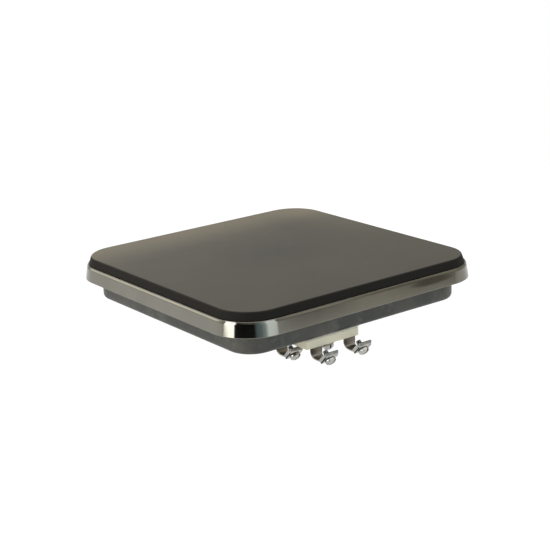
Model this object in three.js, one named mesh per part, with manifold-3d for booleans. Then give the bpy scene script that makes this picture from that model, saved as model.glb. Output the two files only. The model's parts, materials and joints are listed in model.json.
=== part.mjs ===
// A square sealed hot plate burner for a cooker top, in millimetres, +Z up.
//
// A cast iron plate carries three coils of heating wire, set in ceramic paste in grooves in its
// underside. A stainless rim closes the gap to the hob and sheds what boils over. A sheet steel pan
// covers the underside, held by a nut on the stud that also clamps the burner into the hob. Four
// screw terminals hang from a ceramic block under the front edge.
//
// The origin is the middle of the burner, in the plane where the rim rests on the hob. The terminals
// are on the -Y side.

import * as THREE from "three";
import { mergeVertices } from "three/addons/utils/BufferGeometryUtils.js";
import Module from "manifold-3d";

// ---- Driving dimensions ----

const GAP = 0.3; // clearance between pieces that touch

// Cooking plate
const PLATE_SIDE = 220; // side of the square cooking surface
const PLATE_CORNER = 27; // its corner radius
const PLATE_BEVEL = 1; // bevel round the cooking surface
const PLATE_STAND = 6.3; // cooking surface over the rim's lip
const PLATE_FLARE = 2.2; // how far the side leans out on its way down to the rim
const PLATE_OVERHANG = 5.2; // how far the plate reaches over the rim's flange
const PLATE_DECK = 8; // iron between the grooves and the cooking surface
const PLATE_DEPTH = 19.5; // cooking surface to the foot of the ribs

// Grooves and heating coils
const LOOPS = ["outer", "middle", "inner"];
const GROOVE_WIDTH = 12;
const RIB_WIDTH = 8;
const PLATE_WALL = 7.4; // iron outside the outer groove
const LOOP_BEND = 24; // corner radius of a loop's centre line
const COIL_RADIUS = 3.5; // outside of the wound coil
const COIL_TAIL_RADIUS = 1.6; // the twisted end that leaves the paste
const COIL_TAIL_DROP = 3; // how far a tail reaches below the paste
const COIL_GAP = 15; // between a coil's two tails
const PASTE_RECESS = 1.5; // paste surface above the foot of the ribs
const PASTE_UNDER_COIL = 1.5;

// Overflow rim
const RIM_HEIGHT = 11.2; // lip over the hob
const RIM_SHEET = 0.8;
const RIM_REACH = 3.2; // rim's wall outside the foot of the plate's side
const RIM_SHOULDER = 2.6; // fall of the shoulder from lip to wall
const RIM_SEAT = 3; // width of the turned-in foot that rests on the hob

// Pan
const PAN_INSET = 4.5; // pan's wall inside the foot of the plate's side
const PAN_SHEET = 0.8;
const PAN_ROOM = 13.9; // foot of the ribs to the pan's floor
const PAN_FLANGE = 6; // turned-out edge that clamps the rim's flange
const PAN_BEND = 3.5; // outside radius round the pan's foot
const DISH_RADIUS = 26; // hollow round the stud, at the pan's foot
const DISH_FLOOR = 18; // radius of the flat that the nut bears on
const DISH_RISE = 11.7;

// Stud, washer and nut
const STUD_RADIUS = 4;
const STUD_REACH = 20.8; // below the pan
const STUD_BITE = 9; // inside the plate's boss
const BOSS_RADIUS = 13;
const HUB_HALF = 34; // hollow round the boss, half its side
const HUB_CORNER = 20;
const WASHER_RADIUS = 8.5;
const WASHER_THICK = 1.6;
const NUT_ACROSS = 13;
const NUT_HEIGHT = 6.5;

// Terminals
const BLOCK_X = -25.1; // middle of the ceramic block
const BLOCK_INSET = 21.5; // middle of the block inside the pan's front wall
const TERMINAL_PITCH = 31; // between the two terminals of a row
const ROW_SHIFT = 12.2; // back row to the left of the front one
const ROW_SPACING = 25;
const BLOCK_LENGTH = 48; // of each half of the block
const BLOCK_SHIFT = 6.2; // front half to the right of the back one
const BLOCK_MARGIN = 3.8; // ceramic outside each row of lugs
const BLOCK_THICK = 7.1;
const BLOCK_EDGE = 0.6; // bevel
const COLLAR_RISE = 3.8; // ceramic collar through the pan, over the block
const COLLAR_WALL = 1.5;
const BACKING_THICK = 1; // steel plate between pan and block
const BACKING_MARGIN = 4;

const LUG_WIDTH = 8.5;
const LUG_THICK = 1;
const LUG_TAIL = 4.9; // inside the pan, for the welded lead
const LUG_DROP = 3; // straight, below the block
const LUG_DEPTH = 8.6; // block to the middle of the lug's foot
const LUG_RUN = 5; // outward to the start of the foot
const LUG_FOOT = 5.5;
const LUG_LIP = 8.3; // length of the tilted end that takes the screw
const LUG_SCREW = 4.7; // the screw's place along it
const LUG_TILT = Math.PI / 4;

const SADDLE_THICK = 1;
const SADDLE_LENGTH = 8.3;
const SADDLE_CHEEK = 2.5; // how far the cheeks reach back past the plate
const SADDLE_WING = 3.3; // bent upright over the lug's end
const SCREW_RADIUS = 2;
const SCREW_HEAD_RADIUS = 4;
const SCREW_HEAD = 3.1;
const SCREW_TIP = 5.5; // beyond the lug's lip
const SLOT_WIDTH = 1;
const SLOT_DEPTH = 1.3;

const BLOCK_SCREW_BITE = 5.5; // into the ceramic
const BLOCK_SCREW_HEAD_RADIUS = 3.5;
const BLOCK_SCREW_HEAD = 2.2;

// Leads, their beads, and the earth stud
const LEAD_RADIUS = 1;
const BEAD_RADIUS = 3.2;
const BEAD_HEIGHT = 2.2;
const EARTH_X = 34;
const EARTH_RADIUS = 2;
const EARTH_REACH = 7.2; // below the pan
const EARTH_NUT_ACROSS = 7;
const EARTH_NUT_HEIGHT = 3.2;
const EARTH_WASHER_RADIUS = 4.5;
const EARTH_WASHER_THICK = 0.8;

// Facets
const OUTSIDE_STEPS = 12; // per corner, on what shows
const INSIDE_STEPS = 6;
const ROUND = 24; // sides of a round piece
const SMALL_ROUND = 16;

// ---- Heights and half sides that follow ----

const CORNER_CENTRE = PLATE_SIDE / 2 - PLATE_CORNER;
const TOP_Z = RIM_HEIGHT + PLATE_STAND;
const RIB_Z = TOP_Z - PLATE_DEPTH;
const GROOVE_Z = TOP_Z - PLATE_DECK;
const PASTE_Z = RIB_Z + PASTE_RECESS;
const COIL_Z = PASTE_Z + PASTE_UNDER_COIL + COIL_RADIUS;
const FLARE_HALF = PLATE_SIDE / 2 + PLATE_FLARE;
const NECK_HALF = FLARE_HALF - PLATE_OVERHANG;
const RIM_HALF = FLARE_HALF + RIM_REACH;
const RIM_FLANGE_Z = RIM_HEIGHT - GAP;
const PAN_FLANGE_Z = RIM_FLANGE_Z - RIM_SHEET - GAP;
const PAN_HALF = NECK_HALF - PAN_INSET;
const SKIRT_HALF = PAN_HALF - PAN_SHEET - GAP;
const LOOP_HALF = SKIRT_HALF - PLATE_WALL - GROOVE_WIDTH / 2;
const BLOCK_Y = BLOCK_INSET - PAN_HALF;
const EARTH_Y = BLOCK_Y;
const PAN_DEPTH = PAN_ROOM + PAN_SHEET - RIB_Z; // below the hob
const PAN_FLOOR_Z = PAN_SHEET - PAN_DEPTH;
const DISH_Z = -PAN_DEPTH + DISH_RISE;
const BOSS_Z = DISH_Z + PAN_SHEET + GAP;
const STUD_Z = -PAN_DEPTH - STUD_REACH;
const WASHER_Z = DISH_Z - GAP - WASHER_THICK;
const NUT_Z = WASHER_Z - GAP - NUT_HEIGHT;
const BACKING_Z = -PAN_DEPTH - GAP - BACKING_THICK;
const BLOCK_TOP_Z = BACKING_Z - GAP;
const BLOCK_Z = BLOCK_TOP_Z - BLOCK_THICK;
const TAIL_RUN = COIL_GAP / 2;
const TAIL_Z = PASTE_Z - COIL_TAIL_DROP;

const loopHalf = (i) => LOOP_HALF - i * (GROOVE_WIDTH + RIB_WIDTH);

// Terminals count from the front row's left, front row's right, back row's left, back row's right.
const TERMINALS = [0, 1].flatMap((row) =>
  [-1, 1].map((side) => ({
    x: BLOCK_X + (side * TERMINAL_PITCH) / 2 + (row ? -1 : 1) * (ROW_SHIFT / 2),
    y: BLOCK_Y + ((row ? 1 : -1) * ROW_SPACING) / 2,
  })),
);
const BLOCK_SCREWS = [0, 1].map((row) => ({
  x: BLOCK_X + (row ? -1 : 1) * (ROW_SHIFT / 2),
  y: BLOCK_Y + ((row ? 1 : -1) * ROW_SPACING) / 3,
}));

// ---- Finishes ----

const finish = (color, roughness, metalness) =>
  new THREE.MeshStandardMaterial({ color, roughness, metalness });

const CAST_IRON = finish(0x34322e, 0.55, 0.6);
const STAINLESS = finish(0xb4b2aa, 0.15, 1);
const COATED_STEEL = finish(0x55544f, 0.4, 0.8);
const PLATED_STEEL = finish(0xa9a8a4, 0.3, 1);
const CERAMIC = finish(0xd8d0b4, 0.6, 0);
const PASTE = finish(0xc9c3b4, 0.9, 0);
const HEATING_WIRE = finish(0x6f6a66, 0.5, 1);
const NICKEL = finish(0xb8b2a4, 0.35, 1);

// ---- Tools ----

const wasm = await Module();
wasm.setup();

// A closed geometry as a solid that can be joined and cut.
function solid(geometry) {
  const bare = new THREE.BufferGeometry();
  const faces = geometry.index ? geometry.toNonIndexed() : geometry;
  bare.setAttribute("position", faces.getAttribute("position"));
  const merged = mergeVertices(bare, 1e-4);
  return new wasm.Manifold(
    new wasm.Mesh({
      numProp: 3,
      vertProperties: merged.getAttribute("position").array,
      triVerts: new Uint32Array(merged.index.array),
    }),
  );
}

// A solid as a named mesh.
function piece(name, body, material) {
  const { numProp, numVert, vertProperties, triVerts } = body.getMesh();
  const points = new Float32Array(numVert * 3);
  for (let i = 0; i < numVert; i++)
    points.set(vertProperties.subarray(i * numProp, i * numProp + 3), 3 * i);
  const geometry = new THREE.BufferGeometry();
  geometry.setAttribute("position", new THREE.BufferAttribute(points, 3));
  geometry.setIndex(new THREE.BufferAttribute(triVerts, 1));
  geometry.computeVertexNormals();
  const mesh = new THREE.Mesh(geometry, material);
  mesh.name = name;
  return mesh;
}

// A profile of [radius, z] points, turned about Z. It starts and ends on the axis, or closes on itself.
function turned(profile, sides = ROUND) {
  const points = profile.map(([r, z]) => new THREE.Vector2(r, z));
  return solid(new THREE.LatheGeometry(points, sides).rotateX(Math.PI / 2));
}

// A profile of [half side, z] points carried round a square with rounded corners. It is a lathe
// whose four quarters are pulled apart to the corner centres, so each level keeps one wall apart.
function squared(profile, centre, steps = OUTSIDE_STEPS) {
  const points = profile.map(([half, z]) => new THREE.Vector2(half, z));
  const geometry = new THREE.LatheGeometry(points, 4 * (steps + 1));
  const position = geometry.getAttribute("position");
  for (let column = 0; column <= 4 * (steps + 1); column++) {
    const quarter = Math.floor(column / (steps + 1)) % 4;
    const turn = (quarter + (column % (steps + 1)) / steps) * (Math.PI / 2);
    const corner = (quarter + 0.5) * (Math.PI / 2);
    points.forEach(({ x: half, y: z }, row) => {
      const onAxis = half === 0;
      const away = onAxis ? 0 : centre * Math.SQRT2;
      const radius = onAxis ? 0 : half - centre;
      position.setXYZ(
        column * points.length + row,
        away * Math.sin(corner) + radius * Math.sin(turn),
        z,
        away * Math.cos(corner) + radius * Math.cos(turn),
      );
    });
  }
  return solid(geometry.rotateX(Math.PI / 2));
}

// A band from one half side to another, between two heights.
function squareBand(inner, outer, low, high, centre, steps) {
  const profile = [
    [inner, low],
    [outer, low],
    [outer, high],
    [inner, high],
    [inner, low],
  ];
  return squared(profile, centre, steps);
}

function cylinder(x, y, radius, low, high, sides = SMALL_ROUND) {
  const geometry = new THREE.CylinderGeometry(radius, radius, high - low, sides);
  return solid(geometry.rotateX(Math.PI / 2).translate(x, y, (low + high) / 2));
}

function box(x, y, low, high, width, depth) {
  const geometry = new THREE.BoxGeometry(width, depth, high - low);
  return solid(geometry.translate(x, y, (low + high) / 2));
}

function ring(x, y, inner, outer, low, high, sides) {
  const whole = cylinder(x, y, outer, low, high, sides);
  return whole.subtract(cylinder(x, y, inner, low - 1, high + 1, sides));
}

// A hexagon nut with its two ends bevelled.
function hexNut(x, y, across, height, bore, low) {
  const corner = across / 2 / Math.cos(Math.PI / 6);
  const hexagon = cylinder(x, y, corner, low, low + height, 6);
  const bevel = corner - across / 2;
  const cone = turned([
    [0, low],
    [corner - bevel, low],
    [corner, low + bevel],
    [corner, low + height - bevel],
    [corner - bevel, low + height],
    [0, low + height],
  ]);
  const nut = hexagon.intersect(cone.translate([x, y, 0]));
  return nut.subtract(cylinder(x, y, bore, low - 1, low + height + 1));
}

// A round wire along a list of points.
function wire(points, radius, steps) {
  const section = new THREE.Shape();
  section.absarc(0, 0, radius, 0, 2 * Math.PI);
  const path = new THREE.CatmullRomCurve3(points.map((p) => new THREE.Vector3(...p)));
  const options = { extrudePath: path, steps, curveSegments: 4 };
  return solid(new THREE.ExtrudeGeometry(section, options));
}

// ---- Cooking plate ----

function cookingPlate() {
  const half = PLATE_SIDE / 2;
  let body = squared(
    [
      [0, RIB_Z],
      [SKIRT_HALF, RIB_Z],
      [SKIRT_HALF, PAN_FLANGE_Z],
      [NECK_HALF, PAN_FLANGE_Z + GAP],
      [NECK_HALF, RIM_HEIGHT],
      [FLARE_HALF, RIM_HEIGHT],
      [half, TOP_Z - PLATE_BEVEL],
      [half - PLATE_BEVEL, TOP_Z],
      [0, TOP_Z],
    ],
    CORNER_CENTRE,
  );
  LOOPS.forEach((_, i) => {
    const mid = loopHalf(i);
    const [inner, outer] = [mid - GROOVE_WIDTH / 2, mid + GROOVE_WIDTH / 2];
    const centre = mid - LOOP_BEND;
    body = body.subtract(squareBand(inner, outer, RIB_Z - 1, GROOVE_Z, centre, INSIDE_STEPS));
  });
  const hollow = [
    [0, RIB_Z - 1],
    [HUB_HALF, RIB_Z - 1],
    [HUB_HALF, GROOVE_Z],
    [0, GROOVE_Z],
  ];
  body = body.subtract(squared(hollow, HUB_HALF - HUB_CORNER, INSIDE_STEPS));
  body = body.add(cylinder(0, 0, BOSS_RADIUS, BOSS_Z, GROOVE_Z + 1, ROUND));
  return body.subtract(cylinder(0, 0, STUD_RADIUS + GAP, BOSS_Z - 1, BOSS_Z + STUD_BITE + GAP));
}

// ---- Heating coils and their paste ----

// The outside of a coil that runs once round its groove, with both ends turned down. A larger
// margin gives the room it takes in the paste.
function coilBody(i, margin) {
  const mid = loopHalf(i);
  const radius = COIL_RADIUS + margin;
  const section = Array.from({ length: 9 }, (_, k) => {
    const turn = (k + 0.5) * (Math.PI / 4);
    return [mid + radius * Math.cos(turn), COIL_Z + radius * Math.sin(turn)];
  });
  const band = squared(section, mid - LOOP_BEND, INSIDE_STEPS);
  const opening = COIL_GAP - 2 * COIL_TAIL_RADIUS - 2 * margin;
  const reach = GROOVE_WIDTH;
  let body = band.subtract(box(BLOCK_X, -mid, COIL_Z - reach, COIL_Z + reach, opening, reach));
  for (const side of [-1, 1]) {
    const x = BLOCK_X + side * TAIL_RUN;
    body = body.add(cylinder(x, -mid, COIL_TAIL_RADIUS + margin, TAIL_Z - margin, COIL_Z, 8));
  }
  return body;
}

function pasteBody(i) {
  const mid = loopHalf(i);
  const width = GROOVE_WIDTH / 2 - GAP;
  const centre = mid - LOOP_BEND;
  const fill = squareBand(mid - width, mid + width, PASTE_Z, GROOVE_Z - GAP, centre, INSIDE_STEPS);
  return fill.subtract(coilBody(i, GAP));
}

// ---- Overflow rim ----

// Flange, shoulder, wall and turned-in foot, all of one sheet.
function overflowRim() {
  const inner = NECK_HALF + GAP;
  const lip = FLARE_HALF + GAP;
  const bend = RIM_SHEET;
  const wall = RIM_HALF - RIM_SHEET;
  const shoulder = RIM_FLANGE_Z - RIM_SHOULDER;
  return squared(
    [
      [inner, RIM_FLANGE_Z - RIM_SHEET],
      [lip - RIM_SHEET / 2, RIM_FLANGE_Z - RIM_SHEET],
      [wall, shoulder + bend / 2],
      [wall, RIM_SHEET],
      [RIM_HALF - RIM_SEAT, RIM_SHEET],
      [RIM_HALF - RIM_SEAT, 0],
      [RIM_HALF - bend, 0],
      [RIM_HALF, bend],
      [RIM_HALF, shoulder],
      [RIM_HALF - bend / 2, shoulder + bend],
      [lip, RIM_FLANGE_Z],
      [inner, RIM_FLANGE_Z],
      [inner, RIM_FLANGE_Z - RIM_SHEET],
    ],
    CORNER_CENTRE,
  );
}

// ---- Pan ----

// Quarter bend from [half - radius, z] to [half, z + radius].
function bend(half, z, radius, steps = 3) {
  return Array.from({ length: steps + 1 }, (_, k) => {
    const turn = (k / steps) * (Math.PI / 2);
    return [half - radius + radius * Math.sin(turn), z + radius - radius * Math.cos(turn)];
  });
}

function panBody() {
  const inside = PAN_HALF - PAN_SHEET;
  const flange = PAN_HALF + PAN_FLANGE;
  const outer = squared(
    [
      [0, -PAN_DEPTH],
      ...bend(PAN_HALF, -PAN_DEPTH, PAN_BEND),
      [PAN_HALF, PAN_FLANGE_Z - PAN_SHEET],
      [flange, PAN_FLANGE_Z - PAN_SHEET],
      [flange, PAN_FLANGE_Z],
      [0, PAN_FLANGE_Z],
    ],
    CORNER_CENTRE,
  );
  const room = squared(
    [
      [0, PAN_FLOOR_Z],
      ...bend(inside, PAN_FLOOR_Z, PAN_BEND - PAN_SHEET),
      [inside, PAN_FLANGE_Z + 1],
      [0, PAN_FLANGE_Z + 1],
    ],
    CORNER_CENTRE,
  );
  const dish = turned([
    [STUD_RADIUS + GAP, DISH_Z],
    [DISH_FLOOR, DISH_Z],
    [DISH_RADIUS, -PAN_DEPTH],
    [DISH_RADIUS + PAN_SHEET, -PAN_DEPTH],
    [DISH_RADIUS + PAN_SHEET, PAN_FLOOR_Z],
    [DISH_FLOOR + PAN_SHEET, DISH_Z + PAN_SHEET],
    [STUD_RADIUS + GAP, DISH_Z + PAN_SHEET],
    [STUD_RADIUS + GAP, DISH_Z],
  ]);
  let pan = outer.subtract(room);
  pan = pan.subtract(cylinder(0, 0, DISH_RADIUS, -PAN_DEPTH - 1, PAN_FLOOR_Z + 1, ROUND)).add(dish);
  return cutForTerminals(pan, -PAN_DEPTH, PAN_FLOOR_Z).subtract(
    cylinder(EARTH_X, EARTH_Y, EARTH_RADIUS + GAP, -PAN_DEPTH - 1, PAN_FLOOR_Z + 1),
  );
}

// The openings for the four ceramic collars and the two block screws.
function cutForTerminals(sheet, low, high) {
  const width = LUG_WIDTH + 2 * (COLLAR_WALL + 2 * GAP);
  const depth = LUG_THICK + 2 * (COLLAR_WALL + 2 * GAP);
  let cut = sheet;
  for (const { x, y } of TERMINALS) cut = cut.subtract(box(x, y, low - 1, high + 1, width, depth));
  for (const { x, y } of BLOCK_SCREWS)
    cut = cut.subtract(cylinder(x, y, SCREW_RADIUS + GAP, low - 1, high + 1));
  return cut;
}

// ---- Stud, washer and nut ----

function studBody() {
  const bevel = STUD_RADIUS / 5;
  return turned([
    [0, STUD_Z],
    [STUD_RADIUS - bevel, STUD_Z],
    [STUD_RADIUS, STUD_Z + bevel],
    [STUD_RADIUS, BOSS_Z + STUD_BITE],
    [0, BOSS_Z + STUD_BITE],
  ]);
}

// ---- Ceramic block and its backing plate ----

// The outline of two rectangles side by side, one shifted along X, as one block.
function steppedOutline(margin) {
  const front = BLOCK_Y - ROW_SPACING / 2 - BLOCK_MARGIN - margin;
  const back = BLOCK_Y + ROW_SPACING / 2 + BLOCK_MARGIN + margin;
  const length = BLOCK_LENGTH / 2 + margin;
  const [right, left] = [BLOCK_X + BLOCK_SHIFT / 2, BLOCK_X - BLOCK_SHIFT / 2];
  return new THREE.Shape([
    new THREE.Vector2(right - length, front),
    new THREE.Vector2(right + length, front),
    new THREE.Vector2(right + length, BLOCK_Y + margin),
    new THREE.Vector2(left + length, BLOCK_Y + margin),
    new THREE.Vector2(left + length, back),
    new THREE.Vector2(left - length, back),
    new THREE.Vector2(left - length, BLOCK_Y - margin),
    new THREE.Vector2(right - length, BLOCK_Y - margin),
  ]);
}

function terminalBlock() {
  const geometry = new THREE.ExtrudeGeometry(steppedOutline(-BLOCK_EDGE), {
    depth: BLOCK_THICK - 2 * BLOCK_EDGE,
    bevelThickness: BLOCK_EDGE,
    bevelSize: BLOCK_EDGE,
    bevelSegments: 1,
  });
  let block = solid(geometry.translate(0, 0, BLOCK_Z + BLOCK_EDGE));
  for (const { x, y } of TERMINALS) {
    const [width, depth] = [LUG_WIDTH + 2 * GAP, LUG_THICK + 2 * GAP];
    const wall = 2 * COLLAR_WALL;
    const top = BLOCK_TOP_Z + COLLAR_RISE;
    block = block.add(box(x, y, BLOCK_TOP_Z - 1, top, width + wall, depth + wall));
    block = block.subtract(box(x, y, BLOCK_Z - 1, top + 1, width, depth));
  }
  for (const { x, y } of BLOCK_SCREWS) {
    const low = BLOCK_TOP_Z - BLOCK_SCREW_BITE - GAP;
    block = block.subtract(cylinder(x, y, SCREW_RADIUS + GAP, low, BLOCK_TOP_Z + 1));
  }
  return block;
}

function backingPlate() {
  const outline = steppedOutline(BLOCK_EDGE);
  const geometry = new THREE.ExtrudeGeometry(outline, { depth: BACKING_THICK, bevelEnabled: false });
  let plate = solid(geometry.translate(0, 0, BACKING_Z));
  const length = BLOCK_LENGTH + BLOCK_SHIFT + 2 * BACKING_MARGIN;
  plate = plate.add(
    box(BLOCK_X, BLOCK_Y, BACKING_Z, BACKING_Z + BACKING_THICK, length, ROW_SPACING - BACKING_MARGIN),
  );
  return cutForTerminals(plate, BACKING_Z, BACKING_Z + BACKING_THICK);
}

function blockScrew({ x, y }) {
  const low = BLOCK_TOP_Z - BLOCK_SCREW_BITE;
  const seat = PAN_FLOOR_Z + GAP;
  const head = cylinder(x, y, BLOCK_SCREW_HEAD_RADIUS, seat, seat + BLOCK_SCREW_HEAD);
  const whole = head.add(cylinder(x, y, SCREW_RADIUS, low, seat + 1));
  const top = seat + BLOCK_SCREW_HEAD;
  return whole.subtract(box(x, y, top - SLOT_DEPTH, top + 1, 3 * BLOCK_SCREW_HEAD_RADIUS, SLOT_WIDTH));
}

// ---- Lugs, saddles and terminal screws ----

// The middle line of a lug, as [outward, z]: down through the block, out under it, and up again at
// a tilt to face the screw.
const LUG_FOOT_Z = BLOCK_Z - LUG_DEPTH;
const LIP_START = LUG_RUN + LUG_FOOT;
const LIP_SCREW = {
  out: LIP_START + LUG_SCREW * Math.cos(LUG_TILT),
  z: LUG_FOOT_Z + LUG_SCREW * Math.sin(LUG_TILT),
};

function lugLine() {
  const path = new THREE.Path();
  path.moveTo(0, PAN_FLOOR_Z + LUG_TAIL);
  path.lineTo(0, BLOCK_Z - LUG_DROP);
  path.quadraticCurveTo(0, LUG_FOOT_Z, LUG_RUN, LUG_FOOT_Z);
  path.lineTo(LIP_START - 1, LUG_FOOT_Z);
  path.quadraticCurveTo(LIP_START, LUG_FOOT_Z, LIP_START + 1, LUG_FOOT_Z + Math.tan(LUG_TILT));
  path.lineTo(LIP_START + LUG_LIP * Math.cos(LUG_TILT), LUG_FOOT_Z + LUG_LIP * Math.sin(LUG_TILT));
  return path.getPoints(4);
}

// A strip of even thickness along a line of points, as a closed outline.
function stripOutline(line, thick) {
  const side = (sign) =>
    line.map((point, i) => {
      const before = point.clone().sub(line[Math.max(i - 1, 0)]).normalize();
      const after = line[Math.min(i + 1, line.length - 1)].clone().sub(point).normalize();
      const along = before.add(after).normalize();
      const previous = line[Math.max(i - 1, 0)];
      const straight = i ? point.clone().sub(previous).normalize() : along;
      const stretch = 1 / Math.max(along.dot(straight), 0.5);
      const across = new THREE.Vector2(-along.y, along.x);
      return point.clone().addScaledVector(across, (sign * stretch * thick) / 2);
    });
  return new THREE.Shape([...side(-1), ...side(1).reverse()]);
}

function lugBody() {
  const options = { depth: LUG_WIDTH, bevelEnabled: false };
  const strip = new THREE.ExtrudeGeometry(stripOutline(lugLine(), LUG_THICK), options);
  const axes = new THREE.Matrix4().makeBasis(
    new THREE.Vector3(0, -1, 0),
    new THREE.Vector3(0, 0, 1),
    new THREE.Vector3(-1, 0, 0),
  );
  const hole = new THREE.CylinderGeometry(SCREW_RADIUS + GAP, SCREW_RADIUS + GAP, 4, SMALL_ROUND);
  hole.rotateX(Math.PI / 2 + SCREW_TURN).translate(0, -LIP_SCREW.out, LIP_SCREW.z);
  return solid(strip.applyMatrix4(axes).translate(LUG_WIDTH / 2, 0, 0)).subtract(solid(hole));
}

// Turning +Z onto the screw's axis, outward and down, square to the lug's lip.
const SCREW_TURN = Math.PI / 2 + (Math.PI / 2 - LUG_TILT);

// Along its own +Z, the screw's axis: a plate on the outside of the lug's lip, with two cheeks that
// reach back beside the lip and a wing that stands up past the lip's end.
function saddleBody() {
  const near = LUG_THICK / 2 + GAP;
  const inside = LUG_WIDTH / 2 + GAP;
  const far = near + SADDLE_THICK;
  const width = 2 * (inside + SADDLE_THICK);
  const back = near - SADDLE_CHEEK;
  const whole = box(0, 0, back, far, width, SADDLE_LENGTH);
  const room = box(0, 0, back - 1, near, 2 * inside, SADDLE_LENGTH + 2);
  const wing = new THREE.BoxGeometry(width, SADDLE_WING, SADDLE_THICK);
  wing.translate(0, SADDLE_WING / 2, -SADDLE_THICK / 2).rotateX(-LUG_TILT);
  wing.translate(0, SADDLE_LENGTH / 2, far);
  const hole = cylinder(0, 0, SCREW_RADIUS + GAP, near - 1, far + 1);
  return whole.subtract(room).add(solid(wing)).subtract(hole);
}

function screwBody() {
  const seat = LUG_THICK / 2 + GAP + SADDLE_THICK + GAP;
  const top = seat + SCREW_HEAD;
  const body = turned(
    [
      [0, -SCREW_TIP],
      [SCREW_RADIUS * 0.8, -SCREW_TIP],
      [SCREW_RADIUS, -SCREW_TIP + SCREW_RADIUS * 0.2],
      [SCREW_RADIUS, seat],
      [SCREW_HEAD_RADIUS, seat],
      [SCREW_HEAD_RADIUS, top - SCREW_HEAD / 3],
      [SCREW_HEAD_RADIUS * 0.75, top],
      [0, top],
    ],
    SMALL_ROUND,
  );
  return body.subtract(box(0, 0, top - SLOT_DEPTH, top + 1, 3 * SCREW_HEAD_RADIUS, SLOT_WIDTH));
}

// ---- Leads ----

// Each lead hangs from a coil's tail and ends beside the inner end of its lug. The last one joins
// the other tail of every coil.
const LEAD_TOP = TAIL_Z - GAP;
const LEAD_BESIDE = LUG_THICK / 2 + GAP + LEAD_RADIUS;
const LUG_TOP = PAN_FLOOR_Z + LUG_TAIL;

function leadBody(loop, terminal) {
  const start = [BLOCK_X - TAIL_RUN, -loopHalf(loop)];
  const end = [terminal.x, terminal.y + LEAD_BESIDE];
  const at = (share) => start.map((value, k) => value + (end[k] - value) * share);
  const level = LEAD_TOP - 2.5 - loop;
  const points = [
    [...start, LEAD_TOP],
    [...start, LEAD_TOP - 1.2],
    [...at(0.2), level],
    [...at(0.8), level - 1],
    [...end, LUG_TOP - 1],
    [...end, LUG_TOP - 2.5],
  ];
  return wire(points, LEAD_RADIUS, 14);
}

function commonLead(terminal) {
  const x = BLOCK_X + TAIL_RUN;
  const level = LEAD_TOP - 2 * LEAD_RADIUS;
  const [outer, , inner] = LOOPS.map((_, i) => -loopHalf(i));
  let lead = wire(
    [
      [x, inner, LEAD_TOP],
      [x, inner, level + 1],
      [x, inner - 2, level],
      [x, outer + 2, level],
      [x, outer, level],
      [x + 5, outer - 2, level - 1],
      [terminal.x, terminal.y + LEAD_BESIDE, LUG_TOP - 1],
      [terminal.x, terminal.y + LEAD_BESIDE, LUG_TOP - 2.5],
    ],
    LEAD_RADIUS,
    24,
  );
  for (const i of [0, 1])
    lead = lead.add(cylinder(x, -loopHalf(i), LEAD_RADIUS, level, LEAD_TOP, 8));
  return lead;
}

// ---- Assembly ----

const burner = new THREE.Group();

burner.add(piece("cooking_plate", cookingPlate(), CAST_IRON));
burner.add(piece("overflow_rim", overflowRim(), STAINLESS));
burner.add(piece("bottom_pan", panBody(), COATED_STEEL));

LOOPS.forEach((name, i) => {
  burner.add(piece(`heating_coil_${name}`, coilBody(i, 0), HEATING_WIRE));
  burner.add(piece(`insulating_paste_${name}`, pasteBody(i), PASTE));
  ["start", "end"].forEach((end, k) => {
    const x = BLOCK_X + (k ? 1 : -1) * TAIL_RUN;
    const high = PASTE_Z - GAP;
    const hole = COIL_TAIL_RADIUS + GAP;
    const bead = ring(x, -loopHalf(i), hole, BEAD_RADIUS, high - BEAD_HEIGHT, high);
    burner.add(piece(`lead_bead_${name}_${end}`, bead, CERAMIC));
  });
});

burner.add(piece("centre_stud", studBody(), PLATED_STEEL));
const washer = ring(0, 0, STUD_RADIUS + GAP, WASHER_RADIUS, WASHER_Z, WASHER_Z + WASHER_THICK, ROUND);
burner.add(piece("pan_washer", washer, PLATED_STEEL));
burner.add(piece("pan_nut", hexNut(0, 0, NUT_ACROSS, NUT_HEIGHT, STUD_RADIUS + GAP, NUT_Z), PLATED_STEEL));

burner.add(piece("terminal_block", terminalBlock(), CERAMIC));
burner.add(piece("terminal_backing_plate", backingPlate(), PLATED_STEEL));
BLOCK_SCREWS.forEach((place, i) => {
  burner.add(piece(`block_screw_${i + 1}`, blockScrew(place), PLATED_STEEL));
});

TERMINALS.forEach(({ x, y }, i) => {
  const lug = piece(`terminal_lug_${i + 1}`, lugBody(), NICKEL);
  lug.position.set(x, y, 0);
  const clamp = new THREE.Group();
  clamp.position.set(x, y - LIP_SCREW.out, LIP_SCREW.z);
  clamp.rotation.x = SCREW_TURN;
  clamp.add(piece(`clamp_saddle_${i + 1}`, saddleBody(), PLATED_STEEL));
  clamp.add(piece(`terminal_screw_${i + 1}`, screwBody(), PLATED_STEEL));
  burner.add(lug, clamp);
});

burner.add(piece("lead_outer", leadBody(0, TERMINALS[0]), NICKEL));
burner.add(piece("lead_middle", leadBody(1, TERMINALS[2]), NICKEL));
burner.add(piece("lead_inner", leadBody(2, TERMINALS[3]), NICKEL));
burner.add(piece("lead_common", commonLead(TERMINALS[1]), NICKEL));

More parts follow.
